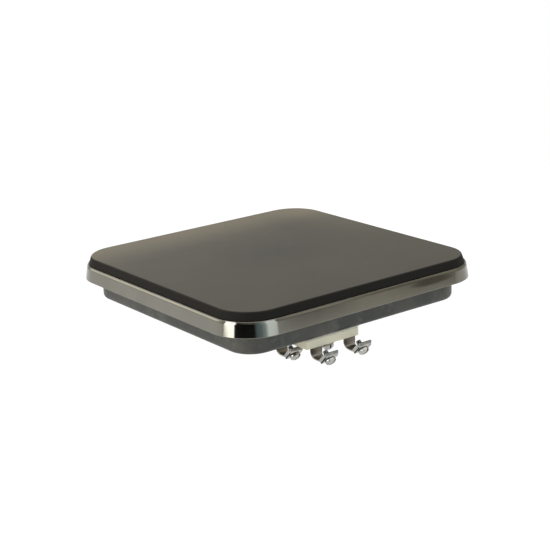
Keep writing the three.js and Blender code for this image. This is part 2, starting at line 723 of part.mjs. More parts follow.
const earthTop = PAN_FLOOR_Z + GAP;
const earthLow = -PAN_DEPTH - EARTH_REACH;
const earthWasherZ = -PAN_DEPTH - GAP - EARTH_WASHER_THICK;
const earthHead = cylinder(EARTH_X, EARTH_Y, 2 * EARTH_RADIUS, earthTop, earthTop + EARTH_RADIUS);
const earthShank = cylinder(EARTH_X, EARTH_Y, EARTH_RADIUS, earthLow, earthTop + 1);
burner.add(piece("earth_stud", earthHead.add(earthShank), PLATED_STEEL));
const earthWasher = ring(
  EARTH_X,
  EARTH_Y,
  EARTH_RADIUS + GAP,
  EARTH_WASHER_RADIUS,
  earthWasherZ,
  earthWasherZ + EARTH_WASHER_THICK,
);
burner.add(piece("earth_washer", earthWasher, PLATED_STEEL));
const earthNutZ = earthWasherZ - GAP - EARTH_NUT_HEIGHT;
const earthNut = hexNut(
  EARTH_X,
  EARTH_Y,
  EARTH_NUT_ACROSS,
  EARTH_NUT_HEIGHT,
  EARTH_RADIUS + GAP,
  earthNutZ,
);
burner.add(piece("earth_nut", earthNut, PLATED_STEEL));

export default burner;
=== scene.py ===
# %% [markdown]
# # A sealed hot plate burner
#
# The burner is a square cast iron plate that sits in a polished stainless rim, over a sheet steel
# pan. Four screw terminals hang under it from a ceramic block. Its mechanical frame, with every
# part in its true place, is loaded first. Each cell after that makes one finish or rebuilds one
# part with the roundings, threads and ribs that the plain frame leaves out.

import json
import math

import bmesh
import bpy
import numpy as np
from mathutils import Matrix, Vector


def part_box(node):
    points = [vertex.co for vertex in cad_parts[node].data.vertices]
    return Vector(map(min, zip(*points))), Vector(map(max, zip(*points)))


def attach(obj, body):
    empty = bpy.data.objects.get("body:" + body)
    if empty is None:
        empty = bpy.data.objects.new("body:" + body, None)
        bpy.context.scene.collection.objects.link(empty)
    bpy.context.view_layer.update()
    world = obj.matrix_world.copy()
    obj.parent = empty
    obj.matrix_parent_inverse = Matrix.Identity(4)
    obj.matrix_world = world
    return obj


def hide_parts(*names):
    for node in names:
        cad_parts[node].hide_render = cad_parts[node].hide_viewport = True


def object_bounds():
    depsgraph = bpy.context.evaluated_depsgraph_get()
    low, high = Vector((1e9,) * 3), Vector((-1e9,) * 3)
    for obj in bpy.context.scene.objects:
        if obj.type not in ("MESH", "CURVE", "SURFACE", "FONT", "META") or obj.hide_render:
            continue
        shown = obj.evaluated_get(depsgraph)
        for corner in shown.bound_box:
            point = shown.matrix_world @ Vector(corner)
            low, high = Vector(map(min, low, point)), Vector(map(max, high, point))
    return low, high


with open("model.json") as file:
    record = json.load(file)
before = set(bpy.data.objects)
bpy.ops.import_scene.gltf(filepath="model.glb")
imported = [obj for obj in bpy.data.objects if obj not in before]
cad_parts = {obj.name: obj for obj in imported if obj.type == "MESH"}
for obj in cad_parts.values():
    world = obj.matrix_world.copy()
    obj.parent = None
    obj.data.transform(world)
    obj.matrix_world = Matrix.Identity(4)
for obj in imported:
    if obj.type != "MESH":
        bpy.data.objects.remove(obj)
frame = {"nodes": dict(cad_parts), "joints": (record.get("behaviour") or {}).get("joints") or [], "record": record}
cad_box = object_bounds()
MM = 0.001

# %% [markdown]
# ## The camera
#
# A long lens from well back keeps the plate's sides nearly parallel. The camera stands to the left
# of the front edge, a little above the plate, and leans slightly. A camera's matrix has its right,
# up and backward directions as columns, so it is set directly.

# %% Camera
CAMERA_PLACE = Vector((-0.613354, -0.828136, 0.308729))
CAMERA_RIGHT = Vector((0.795636, -0.604518, -0.039006))
CAMERA_UP = Vector((0.203549, 0.206144, 0.957117))
CAMERA_LENS, SENSOR_WIDTH = 90.52, 36

camera_data = bpy.data.cameras.new("camera")
camera_data.lens = CAMERA_LENS
camera_data.sensor_width = SENSOR_WIDTH
camera = bpy.data.objects.new("camera", camera_data)
turn = Matrix((CAMERA_RIGHT, CAMERA_UP, CAMERA_RIGHT.cross(CAMERA_UP))).transposed()
camera.matrix_world = Matrix.Translation(CAMERA_PLACE) @ turn.to_4x4()
bpy.context.scene.collection.objects.link(camera)
bpy.context.scene.camera = camera
print("camera", [round(c, 3) for c in CAMERA_PLACE])

# %% [markdown]
# ## Shader maths as Python
#
# A material is a graph of nodes, and long formulas in it are hard to read. A small class wraps an
# output socket and overloads the operators, so that `1 - mask * 0.5` adds the Math nodes by
# itself.

# %% Signals
class Signal:
    """A value that varies over a surface: one output socket, whose operators add Math nodes."""

    def __init__(self, graph, socket):
        self.graph, self.socket = graph, socket

    def math(self, operation, *others):
        values = dict(enumerate((self, *others)))
        return self.graph.node("ShaderNodeMath", {"operation": operation}, values)

    def __add__(self, other):
        return self.math("ADD", other)

    def __radd__(self, other):
        return self.math("ADD", other)

    def __sub__(self, other):
        return self.math("SUBTRACT", other)

    def __rsub__(self, other):
        return (self * -1) + other

    def __mul__(self, other):
        return self.math("MULTIPLY", other)

    def __rmul__(self, other):
        return self.math("MULTIPLY", other)

    def __truediv__(self, other):
        return self.math("DIVIDE", other)

    def __pow__(self, other):
        return self.math("POWER", other)

    def sine(self):
        return self.math("SINE")

    def ramp(self, low, high):
        """0 below low, 1 above high, and smooth between."""
        settings = {"interpolation_type": "SMOOTHSTEP"}
        return self.graph.node("ShaderNodeMapRange", settings, {0: self, 1: low, 2: high})


print("signal operators ready")

# %% [markdown]
# ## Graphs and finishes
#
# Every node that isn't maths comes from one method, which takes the node's settings first and then
# the values or links of its sockets. A finish is a graph on a Principled shader. What stays the
# same all over it is set on the shader's own sockets, and what varies is linked.

# %% Graphs and finishes
def colour(value):
    """A colour given as three numbers, or a colour that is already a signal."""
    return value if isinstance(value, Signal) else (*value, 1.0)


class Graph:
    """A node tree that is filled from Python, and the place that its patterns are read from."""

    def __init__(self, tree, place):
        self.tree = tree
        self.place = self.node("ShaderNodeTexCoord", out=place)
        split = [self.node("ShaderNodeSeparateXYZ", {}, {0: self.place}, axis) for axis in "XYZ"]
        self.x, self.y, self.z = split

    def node(self, kind, settings=None, values=None, out=0):
        node = self.tree.nodes.new(kind)
        for key, setting in (settings or {}).items():
            setattr(node, key, setting)
        for key, value in (values or {}).items():
            if isinstance(value, Signal):
                self.tree.links.new(value.socket, node.inputs[key])
            else:
                node.inputs[key].default_value = value
        return Signal(self, node.outputs[out])

    def blend(self, share, first, second):
        """The first colour where share is 0 and the second where it is 1."""
        values = {0: share, 6: colour(first), 7: colour(second)}
        return self.node("ShaderNodeMix", {"data_type": "RGBA"}, values, 2)


class Finish(Graph):
    """One procedural material on a Principled shader, with its constant values given by name."""

    def __init__(self, name, **constants):
        self.material = bpy.data.materials.new(name)
        self.material.use_nodes = True
        super().__init__(self.material.node_tree, "Object")
        self.shader = self.tree.nodes["Principled BSDF"]
        for name_given, value in constants.items():
            socket = name_given.replace("_", " ").title().replace("Ior", "IOR")
            self.shader.inputs[socket].default_value = value

    def noise(self, scale, detail=3, stretch=None, rough=0.5):
        """Noise about 1 / scale metres across, from 0 to 1. stretch scales it along X, Y and Z."""
        place = self.place
        if stretch:
            place = self.node("ShaderNodeMapping", {}, {"Vector": place, "Scale": stretch})
        values = {"Vector": place, "Scale": scale, "Detail": detail, "Roughness": rough}
        return self.node("ShaderNodeTexNoise", {}, values)

    def cells(self, scale):
        """Distance from the nearest of many scattered points, in cells."""
        values = {"Vector": self.place, "Scale": scale}
        return self.node("ShaderNodeTexVoronoi", {}, values, "Distance")

    def set(self, socket, value):
        self.tree.links.new(value.socket, self.shader.inputs[socket])

    def bump(self, height, depth, strength=1.0):
        """Raises the surface by height times depth, in metres."""
        values = {"Height": height, "Distance": depth, "Strength": strength}
        self.set("Normal", self.node("ShaderNodeBump", {}, values, "Normal"))


print("graphs and finishes ready")

# %% [markdown]
# ## Cast iron
#
# The plate is cast, then its top is faced on a lathe: the tool leaves very fine rings round the
# middle. They are too fine to see one by one, but they stretch the light into a soft fan. A bump of
# rings does that without any anisotropic setting. A heat resistant coat darkens the iron. Its
# colour also carries painted shade over the middle, and a pale straw painted sheen along the back
# and the right side. The side keeps the grain of the sand mould.

# %% Cast iron finish
TOP_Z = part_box("cooking_plate")[1].z
RING_PITCH, RING_WANDER = 0.7 * MM, 1.2 * MM
COAT_THICK, COAT_THIN = (0.0195, 0.0175, 0.0122), (0.0245, 0.0208, 0.0136)
SMOKE, PAINTED_SHADE_MIDDLE, PAINTED_SHEEN = (0.038, 0.0362, 0.0295), (0.01, 0.0098, 0.007), (0.082, 0.07, 0.046)
SAND_DARK, SAND_PALE = (0.0025, 0.0019, 0.0008), (0.006, 0.005, 0.003)
MIDDLE_SHADE_RADIUS, MIDDLE_SHADE_SHARE, SMOKE_SHARE = 60 * MM, 0.55, 0.25


def cast_iron():
    """Top: a bump of sin(2 pi r / pitch), r being the distance from the middle plus a little
    noise. Side: a bump of coarse and fine grain. faced is 1 on the top and 0 below it."""
    f = Finish("cast_iron_faced", specular_ior_level=0.16)
    radius = (f.x * f.x + f.y * f.y) ** 0.5
    faced = f.z.ramp(TOP_Z - 0.5 * MM, TOP_Z - 0.1 * MM)
    wander = f.noise(35, 2) * RING_WANDER
    rings = ((radius + wander) * (2 * math.pi / RING_PITCH)).sine()
    broad = f.noise(14, 4)
    smoky = f.noise(45, 5, rough=0.6)
    grain = f.noise(1800, 3)
    # Painted shade: the coat is darkened over the middle, fading out by MIDDLE_SHADE_RADIUS.
    middle = 1 - radius.ramp(4 * MM, MIDDLE_SHADE_RADIUS)
    # Painted sheen: the coat is lightened to a straw colour along the back and the right side.
    sheen_along_right = f.x.ramp(60 * MM, 112 * MM) * f.y.ramp(-50 * MM, 100 * MM)
    painted_sheen = f.y.ramp(50 * MM, 112 * MM) + 0.6 * sheen_along_right
    iron = f.blend(broad.ramp(0.35, 0.7), COAT_THICK, COAT_THIN)
    iron = f.blend(smoky.ramp(0.45, 0.75) * SMOKE_SHARE, iron, SMOKE)
    iron = f.blend(middle * MIDDLE_SHADE_SHARE, iron, PAINTED_SHADE_MIDDLE)
    iron = f.blend(painted_sheen * (0.7 + 0.4 * smoky), iron, PAINTED_SHEEN)
    f.set("Base Color", f.blend(faced, f.blend(grain, SAND_DARK, SAND_PALE), iron))
    f.set("Roughness", 0.72 - 0.34 * faced + 0.1 * (smoky - 0.5))
    mould = grain + 0.6 * f.noise(500, 2)
    f.bump(rings * faced * 0.3 + mould * (1 - faced * 0.9), 0.05 * MM, 0.5)
    return f.material


CAST_IRON = cast_iron()
print("cast iron: rings", round(RING_PITCH / MM, 2), "mm apart")

# %% [markdown]
# ## Stainless steel
#
# The rim is drawn from sheet and polished on a wheel. Polishing leaves a near mirror with faint
# lines that run along the band, so the noise is squeezed upright: it changes fast with height and
# slowly along the side. A film of random tone dulls it, and the front wall is darker all over.
# One long oval on the front wall is a painted dark reflection, written as an ellipse because noise
# could not be put just there.

# %% Stainless finish
RIM_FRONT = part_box("overflow_rim")[0].y
RIM_FRONT_DEEP = 7.4 * MM
DARK_REFLECTION_X, DARK_REFLECTION_Z, DARK_REFLECTION_LONG, DARK_REFLECTION_HIGH = 60 * MM, 7.2 * MM, 20 * MM, 2.6 * MM
STEEL_DARK, STEEL_PALE = (0.19, 0.183, 0.152), (0.25, 0.238, 0.205)
FILM_AND_DARK_FRONT, PAINTED_DARK_REFLECTION = (0.13, 0.118, 0.096), (0.04, 0.034, 0.024)


def stainless():
    """Polishing lines are noise squeezed 60 times in height. The painted dark reflection is the
    inside of an ellipse: (x / long)^2 + (z / high)^2 below about 1."""
    f = Finish("stainless_polished", metallic=1.0)
    lines = f.noise(60, 3, (1, 1, 60))
    cloud = f.noise(30, 3)
    front = 1 - f.y.ramp(RIM_FRONT, RIM_FRONT + RIM_FRONT_DEEP)
    # Painted reflection: a dark oval laid on the front wall.
    oval = ((f.x - DARK_REFLECTION_X) / DARK_REFLECTION_LONG) ** 2 + ((f.z - DARK_REFLECTION_Z) / DARK_REFLECTION_HIGH) ** 2
    dark_reflection = (1 - oval.ramp(0.2, 1.6)) * front
    # A film of random tone, plus the front wall darker all over.
    film_and_dark_front = 0.55 * f.noise(12, 4, rough=0.6).ramp(0.35, 0.65) + 0.75 * front
    polished = f.blend(cloud, STEEL_DARK, STEEL_PALE)
    dulled = f.blend(film_and_dark_front * 0.4, polished, FILM_AND_DARK_FRONT)
    f.set("Base Color", f.blend(dark_reflection * 0.7, dulled, PAINTED_DARK_REFLECTION))
    f.set("Roughness", 0.04 + 0.05 * lines + 0.04 * cloud)
    f.bump(lines, 0.004 * MM, 0.6)
    return f.material


STAINLESS = stainless()
print("stainless: smear", round(2 * DARK_REFLECTION_LONG / MM), "mm long")

# %% [markdown]
# ## Coated pan steel
#
# The pan is pressed from aluminised sheet and stays satin, a dark cool grey. Pressing leaves faint
# upright draw marks on its side, which noise stretched upright gives. Handling leaves dull smudges
# and paler prints: two sizes of cloud, since one alone looks like a pattern.

# %% Pan finish
PAN_DARK, PAN_PALE = (0.048, 0.05, 0.045), (0.085, 0.081, 0.069)
PAN_PRINT, PAN_DRAWN = (0.13, 0.126, 0.112), (0.052, 0.055, 0.051)


def pan_steel():
    """Draw marks are noise stretched 20 times in height, over two sizes of cloud."""
    f = Finish("pan_coated_steel", metallic=0.55, specular_ior_level=0.3)
    draw = f.noise(220, 3, (1, 1, 0.05))
    smudge = f.noise(28, 4, rough=0.6)
    peel = f.noise(900, 2)
    prints = f.noise(75, 3, rough=0.65).ramp(0.52, 0.7)
    steel = f.blend(smudge.ramp(0.35, 0.75), PAN_DARK, PAN_PALE)
    steel = f.blend(prints * 0.5, steel, PAN_PRINT)
    f.set("Base Color", f.blend(draw * 0.3, steel, PAN_DRAWN))
    f.set("Roughness", 0.32 + 0.16 * smudge + 0.06 * draw + 0.08 * prints)
    f.bump(peel + draw * 0.8, 0.02 * MM, 0.4)
    return f.material


PAN_STEEL = pan_steel()
print("pan steel ready")

# %% [markdown]
# ## Plated steel and nickel
#
# The screws, saddles, nuts and washers are zinc plated: bright, with a slight blue to straw tint
# that drifts over the surface. The rebuilt parts carry a groove_shade attribute that darkens and
# dulls the plating between the saddle's ribs and in the screw slots: painted shade. The lugs are
# nickel, with painted shade under the block in the brown of a heat tint.

# %% Plated steel and nickel
BLOCK_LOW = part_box("terminal_block")[0]
ZINC_BLUE, ZINC_STRAW, ZINC_WORN = (0.3, 0.315, 0.32), (0.44, 0.425, 0.38), (0.3, 0.29, 0.27)
GROOVE_SHADE = (0.02, 0.019, 0.017)
NICKEL_DARK, NICKEL_BRIGHT = (0.3, 0.285, 0.26), (0.48, 0.465, 0.43)
NICKEL_SHADE_BROWN = (0.1, 0.08, 0.055)


def plated_steel():
    f = Finish("zinc_plated_steel", metallic=1.0)
    tint = f.noise(160, 2)
    wear = f.noise(900, 4, rough=0.65)
    zinc = f.blend(tint.ramp(0.35, 0.65), ZINC_BLUE, ZINC_STRAW)
    worn = f.blend(wear.ramp(0.55, 0.8) * 0.5, zinc, ZINC_WORN)
    # Painted shade: the groove_shade attribute darkens the plating between ribs and in slots.
    groove_shade = f.node("ShaderNodeAttribute", {"attribute_name": "groove_shade"}, out="Fac")
    f.set("Base Color", f.blend(groove_shade, worn, GROOVE_SHADE))
    f.set("Roughness", 0.16 + 0.16 * wear + 0.3 * groove_shade)
    f.bump(wear, 0.01 * MM, 0.5)
    return f.material


def nickel():
    """The painted brown shade under the block fades in from 10 to 4 mm below the block, and is full above that."""
    f = Finish("nickel_shaded_brown_near_block", metallic=1.0)
    near_block = f.z.ramp(BLOCK_LOW.z - 10 * MM, BLOCK_LOW.z - 4 * MM)
    # Painted shade: the lug is darkened brown near and under the block.
    brown_shade = near_block * (0.65 + 0.35 * f.noise(220, 3))
    rolled = f.noise(300, 3, (1, 1, 0.15))
    bright = f.blend(rolled, NICKEL_DARK, NICKEL_BRIGHT)
    f.set("Base Color", f.blend(brown_shade, bright, NICKEL_SHADE_BROWN))
    f.set("Roughness", 0.2 + 0.14 * rolled + 0.15 * brown_shade)
    f.bump(rolled, 0.01 * MM, 0.5)
    return f.material


PLATED, NICKEL = plated_steel(), nickel()
print("heat tint above", round((BLOCK_LOW.z - 10 * MM) / MM, 1), "mm")

# %% [markdown]
# ## Ceramic, paste and heating wire
#
# The block and beads are steatite, a dense unglazed ceramic with small dark specks and pits, which
# scattered cells place well. Insulating paste is rougher and chalky, and the heating wire is dull
# with oxide.

# %% Ceramic, paste and wire
STEATITE_WARM, STEATITE_PALE, SPECK = (0.6, 0.555, 0.4), (0.72, 0.665, 0.52), (0.3, 0.25, 0.16)
PASTE_DARK, PASTE_PALE = (0.38, 0.35, 0.29), (0.56, 0.53, 0.46)
OXIDE_DARK, OXIDE_PALE = (0.09, 0.08, 0.075), (0.2, 0.18, 0.17)


def steatite():
    f = Finish("steatite_unglazed")
    specks = 1 - f.cells(700).ramp(0.05, 0.2)
    cloud = f.noise(60, 4)
    body = f.blend(cloud, STEATITE_WARM, STEATITE_PALE)
    f.set("Base Color", f.blend(specks * 0.4, body, SPECK))
    f.set("Roughness", 0.5 + 0.2 * cloud)
    f.bump(f.noise(1400, 3) - specks * 0.8, 0.03 * MM, 0.6)
    return f.material


def paste():
    f = Finish("insulating_paste")
    grit = f.noise(900, 5, rough=0.7)
    f.set("Base Color", f.blend(grit, PASTE_DARK, PASTE_PALE))
    f.set("Roughness", 0.8 + 0.15 * grit)
    f.bump(grit, 0.2 * MM)
    return f.material


def wire():
    f = Finish("oxidised_heating_wire", metallic=0.8)
    oxide = f.noise(400, 4)
    f.set("Base Color", f.blend(oxide, OXIDE_DARK, OXIDE_PALE))
    f.set("Roughness", 0.45 + 0.2 * oxide)
    f.bump(oxide, 0.05 * MM)
    return f.material


FINISHES = {
    "cast_iron": CAST_IRON,
    "rim_stainless": STAINLESS,
    "pan_steel": PAN_STEEL,
    "plated_steel": PLATED,
    "nickel": NICKEL,
    "steatite": steatite(),
    "insulating_paste": paste(),
    "heating_wire": wire(),
}
for row in frame["record"]["subparts"]:
    node = frame["nodes"][row["node"]]
    node.data.materials.clear()
    node.data.materials.append(FINISHES[row["material_slot"]])
print("finishes", sorted(FINISHES))

# %% [markdown]
# ## Turning grids into pieces
#
# Every new part is a surface of two parameters, worked out by numpy as one grid of points. One
# function turns grids into a mesh: it merges points that fall together, such as a pole, turns the
# faces outward, and puts the piece on its body in place of its CAD node.

# %% Pieces from grids
SMOOTH_ANGLE, BEVEL_ANGLE = math.radians(32), math.radians(40)
MERGE = 1e-6


def grid_faces(rows, columns, ring=True):
    """Quads between neighbouring rows and columns, as one array. A ring joins its last column to
    its first."""
    last = columns if ring else columns - 1
    i, j = np.meshgrid(np.arange(rows - 1), np.arange(last), indexing="ij")
    k = (j + 1) % columns
    below, above = i * columns, (i + 1) * columns
    return np.stack([below + j, below + k, above + k, above + j], -1).reshape(-1, 4)


def joined(parts):
    """One list of points, faces and groove values from (points, faces[, groove]) parts. Faces are
    one array, or a list of arrays whose faces have different numbers of corners."""
    start, points, faces, groove_shades = 0, [], [], []
    for part_points, part_faces, *groove_shade in parts:
        points.append(np.asarray(part_points, float).reshape(-1, 3))
        for block in part_faces if isinstance(part_faces, list) else [part_faces]:
            faces.extend((block + start).tolist())
        groove_shades.append(groove_shade[0] if groove_shade else np.zeros(len(points[-1])))
        start += len(points[-1])
    return np.concatenate(points), faces, np.concatenate(groove_shades)


def piece(name, parts, finish, body, nodes, bevel=0.0):
    """A closed mesh from parts, finished, riding on a body in place of its CAD nodes."""
    points, faces, groove_shade = joined(parts)
    mesh = bpy.data.meshes.new(name)
    mesh.from_pydata(points.tolist(), [], faces)
    mesh.attributes.new("groove_shade", "FLOAT", "POINT").data.foreach_set("value", groove_shade)
    work = bmesh.new()
    work.from_mesh(mesh)
    bmesh.ops.remove_doubles(work, verts=work.verts, dist=MERGE)
    bmesh.ops.dissolve_degenerate(work, edges=work.edges, dist=MERGE)
    bmesh.ops.recalc_face_normals(work, faces=work.faces)
    open_edges = sum(1 for e in work.edges if len(e.link_faces) != 2)
    work.to_mesh(mesh)
    work.free()
    mesh.shade_smooth()
    mesh.set_sharp_from_angle(angle=SMOOTH_ANGLE)
    mesh.materials.append(finish)
    made = bpy.data.objects.new(name, mesh)
    bpy.context.scene.collection.objects.link(made)
    if bevel:
        rounding = made.modifiers.new("rounding", "BEVEL")
        rounding.width, rounding.segments, rounding.limit_method = bevel, 2, "ANGLE"
        rounding.angle_limit = BEVEL_ANGLE
        rounding.harden_normals = True
    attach(made, body)
    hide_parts(*nodes)
    print(name, len(mesh.polygons), "faces", open_edges, "open edges")


print("points merge within", MERGE / MM, "mm")

# %% [markdown]
# ## Rounded outlines
#
# A profile is written as its sharp corners, each with the radius that its edge is broken by. A
# quadratic curve stands in for the arc of each: at these sizes the two can't be told apart, and it
# needs only the two points where the rounding starts and ends.

# %% Rounded outlines
def rounded(points, radii, steps=5):
    """Point = (1 - s)^2 enter + 2 s (1 - s) corner + s^2 leave, for s from 0 to 1 at each corner.
    enter and leave are the corner's radius away from it, towards its two neighbours."""
    points = np.asarray(points, float)
    share = np.linspace(0, 1, steps + 1)[:, None]
    line = []
    for i, radius in enumerate(radii):
        corner = points[i]
        if not radius:
            line.append(corner[None])
            continue
        before, after = points[i - 1] - corner, points[(i + 1) % len(points)] - corner
        enter = corner + before / np.linalg.norm(before) * radius
        leave = corner + after / np.linalg.norm(after) * radius
        curve = (1 - share) ** 2 * enter + 2 * share * (1 - share) * corner + share**2 * leave
        line.append(curve)
    return np.concatenate(line)


def closed(line):
    """The outline with its first point again at its end."""
    return np.concatenate([line, line[:1]])


print("outlines ready")

# %% [markdown]
# ## Square levels with rounded corners
#
# Plate, rim and pan all share one plan: a square whose corners are quarter circles. Such a part is
# a profile carried round that plan. Each point of the profile has a half side, a height and the
# distance of its corner centres from the axes. With a distance of zero a level is a full circle,
# so a round boss or dish can belong to the same profile.

# %% Rounded square sweep
CORNER_STEPS = 20
HOLD_NEAR, HOLD_LONG = 0.12 * MM, 0.8 * MM


def held(line):
    """The line with a point added near both ends of each long straight, so that smooth shading
    keeps the straight flat and turns only in the rounding."""
    start, end = line[:-1], line[1:]
    length = np.hypot(*(end - start)[:, :2].T)
    long = length > HOLD_LONG
    share = np.where(long, HOLD_NEAR / np.maximum(length, HOLD_NEAR), 0)[:, None]
    after, before = start + (end - start) * share, end + (start - end) * share
    grown = np.stack([start, after, before], 1).reshape(-1, 3)
    kept = np.stack([np.ones_like(long), long, long], 1).ravel()
    return np.concatenate([grown[kept], line[-1:]])


def around_square(half, z, centre):
    """Point = corner centre + (half side - centre distance) * (cos t, sin t), for t through each
    quarter turn, at height z. Rows follow the profile and columns go round."""
    line = held(np.column_stack([half, z, np.broadcast_to(centre, np.shape(half))]))
    half, z, centre = (line[:, i, None] for i in range(3))
    quarter = np.repeat(np.arange(4), CORNER_STEPS + 1)
    within = np.tile(np.linspace(0, 1, CORNER_STEPS + 1), 4)
    t = (quarter + within) * (math.pi / 2)
    sign_x = np.where((quarter == 0) | (quarter == 3), 1.0, -1.0)
    sign_y = np.where(quarter < 2, 1.0, -1.0)
    x = centre * sign_x + (half - centre) * np.cos(t)
    y = centre * sign_y + (half - centre) * np.sin(t)
    return np.stack([x, y, z + 0 * x], -1), grid_faces(len(half), len(t))


PLATE_LOW, PLATE_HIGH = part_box("cooking_plate")
RIM_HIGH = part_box("overflow_rim")[1]
PAN_LOW, PAN_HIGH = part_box("bottom_pan")
CORNER_CENTRE = 83 * MM
print("plate half side", round(PLATE_HIGH.x / MM, 2), "rim", round(RIM_HIGH.x / MM, 2))

# %% [markdown]
# ## Cooking plate
#
# The casting has a broad round at its top edge, a side that leans out to shed spills over the rim,
# and a step back to the neck. It could be a cube with bevels, but one closed profile gives every
# radius its own size. Its underside carries the three wire grooves and the round boss, which differ
# only in where their corner centres lie.

# %% Cooking plate
PLATE_TOP_HALF, LIP_Z = 110 * MM, 11.2 * MM
NECK_HALF, SKIRT_HALF = PLATE_HIGH.x - 5.2 * MM, 101.4 * MM
NECK_FOOT_Z = PAN_HIGH.z + 0.3 * MM
GROOVE_FLOOR, GROOVE_HALF = PLATE_HIGH.z - 8 * MM, 6 * MM
LOOP_NAMES, LOOP_BEND = ("outer", "middle", "inner"), 24 * MM
LOOP_HALVES = [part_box(f"insulating_paste_{n}")[1].x - 5.7 * MM for n in LOOP_NAMES]
HUB_HALF, HUB_CORNER = 34 * MM, 20 * MM
BOSS_RADIUS, BOSS_FOOT, BOSS_PAST_SKIRT = 13 * MM, -3.9 * MM, 1.9 * MM
BORE_RADIUS, BORE_TOP = 4.3 * MM, 5.4 * MM
PLATE_ROUND_STEPS = 6


def cooking_plate():
    """Rows of (half side, height, corner centre) from the middle of the top, out over the edge,
    down the skirt, in through three grooves and the hub, and up the bore to its closed end."""
    top, foot = PLATE_HIGH.z, PLATE_LOW.z + BOSS_PAST_SKIRT
    edge = np.array([
        (0, top, 0),
        (PLATE_TOP_HALF, top, 1.4 * MM),
        (PLATE_HIGH.x, LIP_Z, 0.5 * MM),
        (NECK_HALF, LIP_Z, 0.6 * MM),
        (NECK_HALF, NECK_FOOT_Z, 0.4 * MM),
        (SKIRT_HALF, PAN_HIGH.z, 0.4 * MM),
        (SKIRT_HALF, foot, 0.8 * MM),
    ])
    outer = rounded(edge[:, :2], edge[:, 2], PLATE_ROUND_STEPS)
    rows = [np.column_stack([outer, np.full(len(outer), CORNER_CENTRE)])]
    for half in LOOP_HALVES:
        centre = half - LOOP_BEND
        near, far = half - GROOVE_HALF, half + GROOVE_HALF
        rows.append([(far, foot, centre), (far, GROOVE_FLOOR, centre)])
        rows.append([(near, GROOVE_FLOOR, centre), (near, foot, centre)])
    hub = HUB_HALF - HUB_CORNER
    rows.append([(HUB_HALF, foot, hub), (HUB_HALF, GROOVE_FLOOR, hub)])
    rows.append([(BOSS_RADIUS, GROOVE_FLOOR, 0), (BOSS_RADIUS, BOSS_FOOT, 0)])
    rows.append([(BORE_RADIUS, BOSS_FOOT, 0), (BORE_RADIUS, BORE_TOP, 0), (0, BORE_TOP, 0)])
    profile = np.concatenate([np.asarray(row, float) for row in rows])
    profile[0, 2] = 0
    return around_square(*profile.T)


piece("plate_casting", [cooking_plate()], CAST_IRON, "burner", ["cooking_plate"])

# %% [markdown]
# ## Overflow rim
#
# The rim is one strip of sheet: a flange under the plate, a rolled bead that hugs the plate's foot,
# a fine groove, a sloping shoulder, a wall that leans in a little, and a foot turned in to rest on
# the hob. The bead and the groove are what catch a thin bright line and a thin dark one beside the
# iron.

# %% Overflow rim
SHEET = 0.8 * MM
FLANGE_GAP = 0.3 * MM
GROOVE_DEEP = 0.5 * MM
SHOULDER_IN, SHOULDER_DROP = 1.5 * MM, 1.55 * MM
FOOT_TURN = 3 * MM
BACK_IN, BACK_DROP = 2.3 * MM, 1.6 * MM


def rim_strip():
    """A closed profile of (half side, height, radius): the face from the flange outward and down
    to the foot, then the back of the sheet up again."""
    wall, high, edge, neck = RIM_HIGH.x, RIM_HIGH.z, PLATE_HIGH.x, NECK_HALF + FLANGE_GAP
    face = [
        (neck, high, 0),  # flange
        (edge - 0.4 * MM, high, 0.3 * MM),
        (edge + 0.1 * MM, high + 0.15 * MM, 0.2 * MM),  # bead
        (edge + 0.55 * MM, high + 0.1 * MM, 0.2 * MM),
        (edge + 0.65 * MM, high - GROOVE_DEEP, 0.12 * MM),  # groove
        (edge + 0.85 * MM, high - GROOVE_DEEP, 0.12 * MM),
        (edge + 0.95 * MM, high - 0.05 * MM, 0.2 * MM),  # shoulder
        (wall - SHOULDER_IN, high - SHOULDER_DROP, 0.3 * MM),
        (wall, 0, 0.35 * MM),  # foot
        (wall - FOOT_TURN, 0, 0),
    ]
    back = [
        (wall - FOOT_TURN, SHEET, 0),
        (wall - SHEET, SHEET, 0.2 * MM),
        (wall - BACK_IN, high - BACK_IN, 0.5 * MM),
        (edge, high - BACK_DROP, 0.4 * MM),
        (neck, high - SHEET, 0),
    ]
    outline = np.asarray(face + back)
    line = closed(rounded(outline[:, :2], outline[:, 2]))
    return around_square(line[:, 0], line[:, 1], CORNER_CENTRE)


piece("rim_polished", [rim_strip()], STAINLESS, "burner", ["overflow_rim"])

# %% [markdown]
# ## Bottom pan
#
# A shallow drawn pan: a flange, an upright wall, a soft radius round the foot, and a conical hollow
# in the middle where the nut pulls it up. A shallow bead pressed into the floor stiffens it. The
# whole skin, outside then inside, is one closed profile.

# %% Bottom pan
BEAD_AT, BEAD_WIDE, BEAD_HIGH, BEAD_ROUND = 62 * MM, 9 * MM, 1.2 * MM, 1.5 * MM
BEAD_CORNER = 36 * MM
DISH_RADIUS, DISH_FLOOR, DISH_RISE, DISH_ROUND = 26 * MM, 18 * MM, 11.7 * MM, 2 * MM
PAN_BORE, PAN_WALL = 4.3 * MM, 102.5 * MM
PAN_FOOT_ROUND, PAN_FLANGE_ROUND, PAN_STEPS = 3.6 * MM, 0.6 * MM, 5


